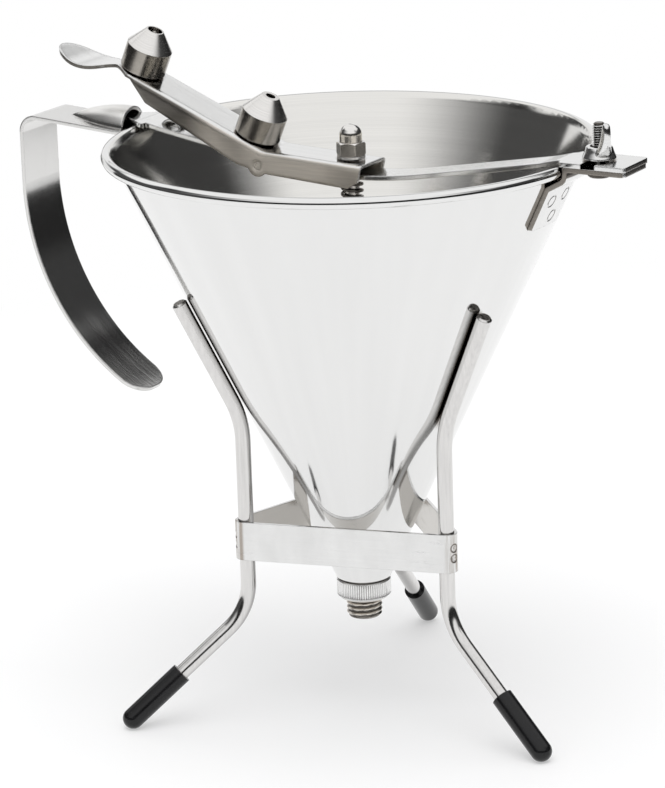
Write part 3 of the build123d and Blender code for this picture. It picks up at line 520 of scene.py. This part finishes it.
def cone_finish():
    """Mirror polish outside with faint upright streaks, brushed around inside."""
    material, wire = new_finish("cone_sheet")
    point = object_point(wire)
    inside = faces_inward(wire, point, CONE_INWARD)
    brush = noise(wire, stretched(wire, point, CONE_BRUSH), CRISP)
    broad_brush = noise(wire, stretched(wire, point, CONE_BROAD_BRUSH), SOFT)
    around = stretched(wire, outward(wire, point), CONE_STREAKS_AROUND)
    upward = stretched(wire, point, CONE_STREAKS_UP)
    streak_place = wire.node("ShaderNodeVectorMath", {"operation": "ADD"}, {0: around, 1: upward})
    streak = noise(wire, streak_place, MIDDLING)
    lines = mixed(brush, broad_brush, BRUSH_SHARE)
    inner_colour = shaded(wire, lines, SHEET_INSIDE, CONE_INSIDE_TONES)
    outer_colour = shaded(wire, streak, SHEET_COLOUR, CONE_OUTSIDE_TONES)
    colour = tinted(wire, inside, outer_colour, inner_colour)
    inner_roughness = ranged(lines, CONE_INSIDE_ROUGHNESS)
    outer_roughness = ranged(streak, CONE_OUTSIDE_ROUGHNESS)
    roughness = outer_roughness + inside * (inner_roughness - outer_roughness)
    steel(wire, colour, roughness, relief(wire, brush * inside, CONE_RELIEF))
    return material


def flank_tint(wire, point, colour):
    """Sawn side of a strip: grainy, with painted shade towards the thumb end of the lever and painted light
    towards the pivot.
    """
    grain = noise(wire, stretched(wire, point, FLANK_GRAIN), GRITTY)
    # Painted light from the pivot on, painted shade towards the thumb
    painted_light_share = smooth_step(wire, along(wire, point, LEVER_RUN), FLANK_SHADE_END, FLANK_LIGHT_END)
    valley = shaded(wire, painted_light_share, toned(colour, FLANK_VALLEY), (1, FLANK_PAINTED_LIGHT))
    ridge = shaded(wire, painted_light_share, colour, (1, FLANK_PAINTED_LIGHT))
    return tinted(wire, grain, valley, ridge)


def strip_finish(
    name, colour, brush_grain, rough_ends, steepness, edge, flank=None, tunnel=False, cut_end_shade=None
):
    """Strip steel brushed along one direction: the grain is small along the lines and large across them."""
    material, wire = new_finish(name)
    point = object_point(wire)
    brush = noise(wire, stretched(wire, point, brush_grain), CRISP)
    broad_grain = tuple(scale / STRIP_BROADER for scale in brush_grain)
    broad_brush = noise(wire, stretched(wire, point, broad_grain), SOFT)
    wear = noise(wire, stretched(wire, point, STRIP_WEAR), MIDDLING)
    lines = mixed(brush, broad_brush, BRUSH_SHARE)
    tint = shaded(wire, lines, colour, STRIP_TONES)
    roughness = ranged(mixed(lines, wear, STRIP_LINES_SHARE), rough_ends)
    if tunnel:
        plate_height = TUNNEL_FOOT + PLATE_SLOPE * TUNNEL_END
        above_plate = along(wire, point, (PLATE_SLOPE, 0, 1)) - plate_height
        raised = smooth_step(wire, above_plate, *TUNNEL_RISE)
        roughness = roughness + TUNNEL_ROUGHNESS * raised
        # Painted light on the raised tunnel
        tint = tinted(wire, raised, tint, TUNNEL_PAINTED_LIGHT)
    if flank:
        sideways = wire.math("ABSOLUTE", along(wire, facing(wire), ACROSS_LEVER))
        side = smooth_step(wire, sideways, *FLANK_FACING)
        roughness = roughness + FLANK_ROUGHNESS * side
        tint = tinted(wire, side, tint, flank_tint(wire, point, flank))
    if cut_end_shade:
        # Painted shade on the faces at the ends of bar and bracket
        endways = smooth_step(wire, along(wire, facing(wire), LEVER_RUN), *CUT_FACING)
        tint = tinted(wire, endways, tint, cut_end_shade)
    normal = relief(wire, brush, steepness / max(brush_grain), rounded_edges(wire, edge))
    steel(wire, tint, roughness, normal)
    return material


def weld_shares(wire, point, blotch):
    """How strongly each point of the band shows the heat of a corner, and the ring of a spot weld."""
    flat_point = stretched(wire, point, LEVEL)
    feet = [Vector((math.cos(angle), math.sin(angle), 0)) * WELD_CIRCLE for angle in WELD_CORNERS]
    heats = [1 - smooth_step(wire, distance(wire, flat_point, foot), *WELD_HEAT) for foot in feet]
    burnt = smooth_step(wire, blotch, *BURN_BLOTCH)
    marks = []
    # The first corner has the seam in place of spot welds
    for foot in feet[1:]:
        for height in WELD_HEIGHTS:
            gap = distance(wire, point, foot + Vector((0, 0, height)))
            from_ring = wire.math("ABSOLUTE", gap - WELD_RING)
            marks.append(1 - smooth_step(wire, from_ring - WELD_RING_WIDTH * blotch, 0, WELD_RING_WIDTH))
            marks.append(BURN_SHARE * (1 - smooth_step(wire, gap, *BURN_EDGE)) * burnt)
    return strongest(wire, heats), strongest(wire, marks)


def band_finish():
    """Bright strip with scuffs, browned at the welded corners, with the rings of the spot welds and painted
    shade on its inner side.
    """
    material, wire = new_finish("band_strip")
    point = object_point(wire)
    brush = noise(wire, stretched(wire, point, BAND_BRUSH), CRISP)
    smudge = noise(wire, stretched(wire, point, BAND_SMUDGE), CRISP)
    scuff = smooth_step(wire, noise(wire, stretched(wire, point, BAND_SCUFF), GRITTY), *SCUFFED)
    stain = noise(wire, stretched(wire, point, BAND_STAIN), CRISP)
    blotch = noise(wire, stretched(wire, point, BAND_BLOTCH), SOFT)
    heat, ring = weld_shares(wire, point, blotch)
    seam_gap = distance(wire, stretched(wire, point, LEVEL), BAND_SEAM)
    seam = (1 - smooth_step(wire, seam_gap, *SEAM_EDGE)) * smooth_step(wire, stain, *SEAM_STAIN)
    smear = strongest(wire, (seam, heat * smooth_step(wire, stain, *HEAT_STAIN)))
    strip = shaded(wire, mixed(smudge, brush, BAND_SMUDGE_SHARE), SHEET_COLOUR, BAND_TONES)
    # Painted shade on the band's inner side, which faces the cone's axis
    tint = tinted(wire, faces_inward(wire, point, BAND_INWARD), strip, BAND_INSIDE_SHADE)
    browned = tinted(wire, SMEAR_SHARE * smear, tint, WELD_TINT)
    ringed = tinted(wire, WELD_RING_SHARE * ring, browned, WELD_RING_TINT)
    roughness = ranged(brush, BAND_ROUGHNESS) + SCUFF_ROUGHNESS * scuff + SMEAR_ROUGHNESS * smear
    normal = relief(wire, brush + smudge, BAND_RELIEF, rounded_edges(wire, EDGE_ROUND))
    steel(wire, ringed, roughness, normal)
    return material


def turned_finish(name, colour, axis, rough_ends, skirt_tarnish_and_shade=None):
    """Turned steel with fine tool rings around its axis; a colour that is partly tarnish and partly painted
    shade covers the faces along the axis.
    """
    material, wire = new_finish(name)
    point = object_point(wire)
    tool = tool_rings(wire, along(wire, point, axis))
    wear = noise(wire, stretched(wire, point, TURNED_WEAR), MIDDLING)
    tint = shaded(wire, tool, colour, TURNED_TONES)
    if skirt_tarnish_and_shade:
        leaning = wire.math("ABSOLUTE", along(wire, facing(wire), axis))
        tarnish_and_shade_tint = shaded(wire, mixed(tool, wear, SKIRT_TOOL_SHARE), skirt_tarnish_and_shade, SKIRT_TONES)
        # Faces along the axis take a colour that is partly tarnish and partly painted shade
        tint = tinted(wire, smooth_step(wire, leaning, *SKIRT_FACING), tarnish_and_shade_tint, tint)
    roughness = ranged(mixed(tool, wear, TOOL_SHARE), rough_ends)
    normal = relief(wire, tool, TOOL_RELIEF, rounded_edges(wire, EDGE_ROUND))
    steel(wire, tint, roughness, normal)
    return material


def rod_finish():
    """Drawn rod, bright, with a slightly uneven skin, painted shade on the side that faces the axis, and sawn
    off at the top.
    """
    material, wire = new_finish("drawn_rod")
    point = object_point(wire)
    skin_noise = noise(wire, stretched(wire, point, ROD_SKIN), CRISP)
    wave = noise(wire, stretched(wire, point, ROD_WAVE), SOFT)
    bright = shaded(wire, skin_noise, ROD_COLOUR, ROD_TONES)
    # Painted shade on the side of each rod that faces the axis
    inner_shaded = tinted(wire, faces_inward(wire, point, ROD_INWARD), bright, toned(ROD_COLOUR, ROD_INNER_SHADE))
    upward = smooth_step(wire, along(wire, facing(wire), UPRIGHT), *SAWN_FACING)
    sawn = upward * smooth_step(wire, along(wire, point, UPRIGHT), LEG_TOP - SAWN_REACH, LEG_TOP)
    speck = smooth_step(wire, noise(wire, stretched(wire, point, SAWN_SPECK), SPECKLED), *SAWN_SPECKLED)
    tint = tinted(wire, sawn, inner_shaded, shaded(wire, speck, SAWN_COLOUR, SAWN_TONES))
    roughness = ranged(mixed(skin_noise, wave, ROD_SKIN_SHARE), ROD_ROUGHNESS) + SAWN_ROUGHNESS * sawn
    normal = relief(wire, skin_noise + wave, ROD_RELIEF, rounded_edges(wire, EDGE_ROUND))
    steel(wire, tint, roughness, normal)
    return material


def vinyl_finish():
    """Black dipped vinyl with a soft gloss."""
    material, wire = new_finish("dipped_vinyl")
    point = object_point(wire)
    skin_noise = noise(wire, stretched(wire, point, VINYL_SKIN), MIDDLING)
    rub = noise(wire, stretched(wire, point, VINYL_RUB), SOFT)
    sockets = {
        "Base Color": shaded(wire, rub, VINYL_COLOUR, (1, VINYL_RUBBED)),
        "Roughness": ranged(rub, VINYL_ROUGHNESS),
        "Specular IOR Level": VINYL_SHINE,
        "Normal": relief(wire, skin_noise, VINYL_RELIEF),
    }
    surface = wire.node("ShaderNodeBsdfPrincipled", {}, sockets)
    wire.node("ShaderNodeOutputMaterial", {}, {"Surface": surface})
    return material


def screw_finish():
    """Plated thread, with painted shade in its grooves and on its head, bright on its crests."""
    material, wire = new_finish("plated_screw")
    point = object_point(wire)
    reach = distance(wire, stretched(wire, point, LEVEL), SCREW_MIDDLE)
    wear = noise(wire, stretched(wire, point, SCREW_WEAR), MIDDLING)
    head = smooth_step(wire, reach, *SCREW_HEAD_START)
    crest = smooth_step(wire, reach, SCREW_ROOT, SCREW_CREST) * (1 - head)
    # Painted shade in the grooves and on the head
    tint = tinted(wire, crest, GROOVE_SHADE, shaded(wire, wear, SHEET_COLOUR, SCREW_TONES))
    steel(wire, tint, ranged(wear, SCREW_ROUGHNESS), rounded_edges(wire, SCREW_ROUND))
    return material


def outlet_finish():
    """Bright knurled collar above a thread darkened by tarnish and painted shade, with painted shade in its
    grooves.
    """
    material, wire = new_finish("tarnished_and_shaded_outlet")
    point = object_point(wire)
    height = along(wire, point, UPRIGHT)
    tool = tool_rings(wire, height)
    wear = noise(wire, stretched(wire, point, OUTLET_WEAR), MIDDLING)
    reach = wire.node("ShaderNodeVectorMath", {"operation": "LENGTH"}, {0: stretched(wire, point, LEVEL)}, 1)
    bright = shaded(wire, smooth_step(wire, reach, *KNURL_SHADE), SHEET_COLOUR, COLLAR_TONES)
    # The thread's colour is partly tarnish and partly painted shade, darkest as painted shade in its grooves
    tarnished_and_shaded = shaded(wire, smooth_step(wire, reach, OUTLET_ROOT, OUTLET_CREST), OUTLET_TARNISH_AND_SHADE, OUTLET_TONES)
    tint = tinted(wire, smooth_step(wire, height, COLLAR_BOTTOM, COLLAR_BOTTOM + COLLAR_FADE), tarnished_and_shaded, bright)
    roughness = ranged(wear, OUTLET_ROUGHNESS) + OUTLET_TOOL_ROUGHNESS * tool
    steel(wire, tint, roughness, relief(wire, tool, OUTLET_RELIEF, rounded_edges(wire, OUTLET_ROUND)))
    return material


def dress(finish, *names):
    """Gives CAD nodes their finish."""
    for name in names:
        for slot in nodes[name].material_slots:
            slot.material = finish


def dress_nodes():
    """The finish of every CAD node that shows."""
    dress(cone_finish(), "funnel_cone")
    dress(rod_finish(), "stand_leg_left", "stand_leg_right", "stand_leg_back")
    dress(vinyl_finish(), "foot_cap_left", "foot_cap_right", "foot_cap_back")
    dress(band_finish(), "stand_band")
    strap = (STRAP_COLOUR, STRAP_BRUSH, STRAP_ROUGHNESS, STRAP_STEEPNESS, BAR_ROUND)
    dress(strip_finish("handle_strap", *strap, tunnel=True), "handle")
    channel = (SHEET_COLOUR, CHANNEL_BRUSH, CHANNEL_ROUGHNESS, CHANNEL_STEEPNESS, FOLD_ROUND)
    dress(strip_finish("lever_channel", *channel, flank=FLANK_SHADED_COLOUR), "lever")
    dress(turned_finish("dull_pin", PIN_COLOUR, ACROSS_LEVER, PIN_ROUGHNESS), "pivot_pin")
    flat_bar = (SHEET_COLOUR, BAR_BRUSH, BAR_ROUGHNESS, BAR_STEEPNESS, BAR_ROUND)
    dress(strip_finish("bar_strip", *flat_bar, cut_end_shade=CUT_END_SHADE), "cross_bar")
    dress(strip_finish("bracket_strip", *flat_bar, flank=BRACKET_FLANK, cut_end_shade=CUT_END_SHADE), "bar_bracket")
    turned = turned_finish("turned_upright", TURNED_COLOUR, UPRIGHT, TURNED_ROUGHNESS)
    dress(turned, "neck_ferrule", "cap_washer", "valve_rod", "valve_plug", "spring_collar")
    dress(turned_finish("turned_cap", TURNED_COLOUR, UPRIGHT, CAP_ROUGHNESS, CAP_TARNISH_AND_SHADE), "cap_nut")
    tilted = turned_finish("turned_nozzle", TURNED_COLOUR, STUD_AXIS, NOZZLE_ROUGHNESS, SKIRT_TARNISH_AND_SHADE)
    dress(tilted, "nozzle_large", "nozzle_small", "nozzle_stud_upper", "nozzle_stud_lower")


def add_piece(name, shape, finish, body, stands_for):
    """Makes a piece of the object from a finished mesh and puts it on its body in place of a CAD node."""
    mesh = bpy.data.meshes.new(name)
    shape.to_mesh(mesh)
    shape.free()
    for face in mesh.polygons:
        face.use_smooth = True
    mesh.set_sharp_from_angle(angle=CREASE)
    mesh.materials.append(finish)
    piece = bpy.data.objects.new(name, mesh)
    bpy.context.scene.collection.objects.link(piece)
    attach(piece, body)
    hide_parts(stands_for)
    return piece


def skin(shape, loops, closed=False):
    """Joins neighbouring loops with faces, and the last to the first, or else caps the first and the last."""
    pairs = list(zip(loops, loops[1:]))
    if closed:
        pairs.append((loops[-1], loops[0]))
    for lower, upper in pairs:
        count = len(lower)
        for index in range(count):
            following = (index + 1) % count
            shape.faces.new((lower[index], lower[following], upper[following], upper[index]))
    if not closed:
        shape.faces.new(list(reversed(loops[0])))
        shape.faces.new(loops[-1])


def turned_loops(shape, outline, segments, centre=(0, 0, 0)):
    """Turns an outline around an upright line: points are a height and a radius, or a radius by angle."""
    loops = []
    for height, radius in outline:
        loop = []
        for index in range(segments):
            angle = 2 * math.pi * index / segments
            reach = radius(angle) if callable(radius) else radius
            place = (centre[0] + reach * math.cos(angle), centre[1] + reach * math.sin(angle), height)
            loop.append(shape.verts.new(place))
        loops.append(loop)
    return loops


def thread_rows(low, high, crest, root, pitch):
    """Rows of a cut thread, which runs out into its root at both ends."""
    rows = []
    count = round((high - low) / pitch * THREAD_STEPS)
    for index in range(count + 1):
        height = low + (high - low) * index / count
        ease = min(1, (height - low) / (pitch / 2), (high - height) / (pitch / 2))

        def radius(angle, height=height, ease=ease):
            phase = (height / pitch - angle / (2 * math.pi)) % 1
            wave = 2 * abs(2 * phase - 1) - 1
            tooth = min(1, max(0, (1 + THREAD_FLANK * wave) / 2))
            return root + (crest - root) * tooth * ease

        rows.append((height, radius))
    return rows


def knurl(depth):
    """The radius of the collar at each angle, with knurl teeth of the given depth."""
    def radius(angle):
        tooth = abs(2 * (angle * KNURL_TEETH / (2 * math.pi) % 1) - 1)
        return COLLAR_RADIUS - depth * tooth

    return radius


def outlet_nipple():
    """Nipple under the cone: knurled collar, thread for the nozzles, bore and valve seat."""
    outline = [(NIPPLE_BOTTOM, BORE), (NIPPLE_BOTTOM, OUTLET_ROOT)]
    outline += thread_rows(NIPPLE_BOTTOM, COLLAR_BOTTOM, OUTLET_CREST, OUTLET_ROOT, OUTLET_PITCH)
    outline += [
        (COLLAR_BOTTOM, COLLAR_RADIUS - COLLAR_CHAMFER),
        (COLLAR_BOTTOM + COLLAR_CHAMFER, knurl(KNURL_END_DEPTH)),
        (KNURL_LOW, knurl(KNURL_DEPTH)),
        (KNURL_HIGH, knurl(KNURL_DEPTH)),
        (SHOULDER - SHOULDER_CHAMFER, knurl(KNURL_END_DEPTH)),
        (SHOULDER, COLLAR_RADIUS - SHOULDER_INSET),
        (SHOULDER, NECK_RADIUS),
        (COLLAR_TOP, NECK_RADIUS),
        (COLLAR_TOP, SPIGOT_RADIUS),
        (SPIGOT_TOP, SPIGOT_RADIUS),
        (SPIGOT_TOP, SEAT_RADIUS),
        (SPIGOT_TOP - SEAT_RADIUS + BORE, BORE),
    ]
    shape = bmesh.new()
    skin(shape, turned_loops(shape, outline, KNURL_TEETH * KNURL_STEPS), closed=True)
    add_piece("nipple", shape, outlet_finish(), "outlet", "outlet_nipple")


def clamp_screw():
    """Screw through the bracket, with its head below and its thread above."""
    head_bottom = SCREW_SEAT - SCREW_HEAD
    outline = [
        (head_bottom, SCREW_HEAD_RADIUS - SCREW_HEAD_CHAMFER),
        (head_bottom + SCREW_HEAD_CHAMFER, SCREW_HEAD_RADIUS),
        (SCREW_SEAT, SCREW_HEAD_RADIUS),
        (SCREW_SEAT, SCREW_ROOT),
    ]
    outline += thread_rows(SCREW_SEAT, SCREW_TOP - SCREW_TIP, SCREW_CREST, SCREW_ROOT, SCREW_PITCH)
    outline.append((SCREW_TOP, SCREW_ROOT - SCREW_TIP_INSET))
    shape = bmesh.new()
    skin(shape, turned_loops(shape, outline, SCREW_SEGMENTS, SCREW_MIDDLE))
    add_piece("screw", shape, screw_finish(), "funnel", "clamp_screw")


def wing_ear(shape):
    """The cast ear of the wing nut: oval sections along a line that sweeps out and up."""
    out = Vector((math.cos(WING_TURN), math.sin(WING_TURN), 0))
    across = Vector((-out.y, out.x, 0))
    lean = (out + Vector((0, 0, EAR_DROOP))).normalized()
    loops = []
    for reach, height, half_width, half_thickness in EAR_SECTIONS:
        middle = Vector((SCREW_X, 0, WING_BASE)) + MM * (reach * out + Vector((0, 0, height)))
        loop = []
        for index in range(EAR_SEGMENTS):
            angle = 2 * math.pi * index / EAR_SEGMENTS
            bulge = half_width * math.cos(angle) * lean + half_thickness * math.sin(angle) * across
            loop.append(shape.verts.new(middle + MM * bulge))
        loops.append(loop)
    skin(shape, loops)


def wing_nut():
    """Wing nut that clamps the bar: flared hub and its cast ear."""
    shape = bmesh.new()
    outline = [(WING_BASE + height * MM, radius * MM) for height, radius in HUB_OUTLINE]
    skin(shape, turned_loops(shape, outline, HUB_SEGMENTS, SCREW_MIDDLE), closed=True)
    wing_ear(shape)
    bmesh.ops.recalc_face_normals(shape, faces=shape.faces)
    finish = turned_finish("plated_nut", SHEET_COLOUR, UPRIGHT, NUT_ROUGHNESS)
    piece = add_piece("winged_nut", shape, finish, "wing_nut_body", "wing_nut")
    rounder = piece.modifiers.new("rounder", "SUBSURF")
    rounder.levels = NUT_ROUNDING
    rounder.render_levels = NUT_ROUNDING


def valve_spring():
    """The spring's wire again, on a mesh of its own."""
    coil = bpy.data.objects.new("spring_wire", nodes["valve_spring"].data.copy())
    bpy.context.scene.collection.objects.link(coil)
    finish = turned_finish("spring_steel_wire", SPRING_COLOUR, UPRIGHT, SPRING_ROUGHNESS)
    for slot in coil.material_slots:
        slot.material = finish
    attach(coil, "funnel")
    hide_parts("valve_spring")
    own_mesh(coil)


def add_stage(name, shape, material, seen_by_camera):
    """Makes a piece of the studio, which is no part of the object, from a finished mesh."""
    mesh = bpy.data.meshes.new(name)
    shape.to_mesh(mesh)
    shape.free()
    mesh.materials.append(material)
    thing = bpy.data.objects.new(name, mesh)
    thing.visible_camera = seen_by_camera
    bpy.context.scene.collection.objects.link(thing)


def table_top():
    """Round white floor that fades into the white background."""
    material, wire = new_finish("table_white")
    reach = distance(wire, object_point(wire), SHADOW_MIDDLE)
    mirrored = wire.node("ShaderNodeLightPath", {}, {}, "Is Glossy Ray")
    glow = ranged(mirrored, (FLOOR_GLOW, FLOOR_MIRRORED))
    fade = glow + (1 - glow) * smooth_step(wire, reach, SHADOW_FADE, SHADOW_END)
    matt = wire.node("ShaderNodeBsdfDiffuse", {}, {"Color": FLOOR_COLOUR})
    white = wire.node("ShaderNodeEmission", {}, {"Color": WHITE, "Strength": 1.0})
    surface = wire.node("ShaderNodeMixShader", {}, {0: fade, 1: matt, 2: white})
    wire.node("ShaderNodeOutputMaterial", {}, {"Surface": surface})
    shape = bmesh.new()
    place = Matrix.Translation(FLOOR_MIDDLE)
    bmesh.ops.create_circle(shape, cap_ends=True, segments=FLOOR_SEGMENTS, radius=FLOOR_RADIUS, matrix=place)
    add_stage("table_top", shape, material, True)


def opening_share(wire, height, heading, opening):
    """How clear the scrim is because of one of its openings."""
    low = opening["low"]
    high = opening["high"]
    above = smooth_step(wire, height, low - OPENING_EDGE, low + OPENING_EDGE)
    below = 1 - smooth_step(wire, height, high - OPENING_EDGE, high + OPENING_EDGE)
    share = opening["light"] * above * below
    for towards, outer, inner in opening["headings"]:
        ends = [math.cos(math.radians(angle)) for angle in (outer, inner)]
        share = share * smooth_step(wire, along(wire, heading, towards), *ends)
    return share


def scrim():
    """Dark cloth around the set with soft openings: the steel mirrors both, and the camera looks past it."""
    material, wire = new_finish("scrim_cloth")
    point = object_point(wire)
    height = along(wire, direction(wire, point), UPRIGHT)
    heading = outward(wire, point)
    shares = [smooth_step(wire, height, TOP_START, TOP_FULL)]
    shares += [opening_share(wire, height, heading, opening) for opening in OPENINGS]
    clear = ranged(strongest(wire, shares), (SCRIM_CLEAR, 1))
    thread = wire.node("ShaderNodeBsdfDiffuse", {}, {"Color": BLACK})
    gap = wire.node("ShaderNodeBsdfTransparent", {}, {"Color": WHITE})
    surface = wire.node("ShaderNodeMixShader", {}, {0: clear, 1: thread, 2: gap})
    wire.node("ShaderNodeOutputMaterial", {}, {"Surface": surface})
    shape = bmesh.new()
    bmesh.ops.create_icosphere(shape, subdivisions=SCRIM_DIVISIONS, radius=SCRIM_RADIUS)
    add_stage("scrim", shape, material, False)


def studio():
    """White surroundings and a soft lamp overhead."""
    world = bpy.data.worlds.new("studio")
    world.use_nodes = True
    world.node_tree.nodes.clear()
    bpy.context.scene.world = world
    wire = Wire(world.node_tree)
    light = wire.node("ShaderNodeBackground", {}, {"Color": WHITE, "Strength": 1.0})
    wire.node("ShaderNodeOutputWorld", {}, {"Surface": light})
    lamp = bpy.data.lights.new("soft_overhead", "SUN")
    lamp.energy = SUN_STRENGTH
    lamp.angle = SUN_ANGLE
    overhead = bpy.data.objects.new("soft_overhead", lamp)
    overhead.rotation_euler = SUN_TILT
    overhead.visible_glossy = False
    bpy.context.scene.collection.objects.link(overhead)


def camera():
    """The photograph's viewpoint."""
    lens = bpy.data.cameras.new("camera")
    lens.sensor_width = SENSOR
    lens.lens = FOCAL_PIXELS / PICTURE_HEIGHT * SENSOR
    eye = bpy.data.objects.new("camera", lens)
    bpy.context.scene.collection.objects.link(eye)
    right = Vector((math.cos(CAMERA_AZIMUTH), math.sin(CAMERA_AZIMUTH), 0))
    level_back = Vector((math.sin(CAMERA_AZIMUTH), -math.cos(CAMERA_AZIMUTH), 0))
    back = math.cos(CAMERA_ELEVATION) * level_back + math.sin(CAMERA_ELEVATION) * Vector(UPRIGHT)
    up = back.cross(right)
    target = CAMERA_ASIDE * right + Vector((0, 0, CAMERA_HEIGHT))
    turned_right = math.cos(CAMERA_ROLL) * right + math.sin(CAMERA_ROLL) * up
    turned_up = math.cos(CAMERA_ROLL) * up - math.sin(CAMERA_ROLL) * right
    turn = Matrix((turned_right, turned_up, back)).transposed().to_4x4()
    eye.matrix_world = Matrix.Translation(target + CAMERA_DISTANCE * back) @ turn
    bpy.context.scene.camera = eye


dress_nodes()
outlet_nipple()
clamp_screw()
wing_nut()
valve_spring()
table_top()
scrim()
studio()
camera()
bpy.context.scene.view_settings.view_transform = "Standard"
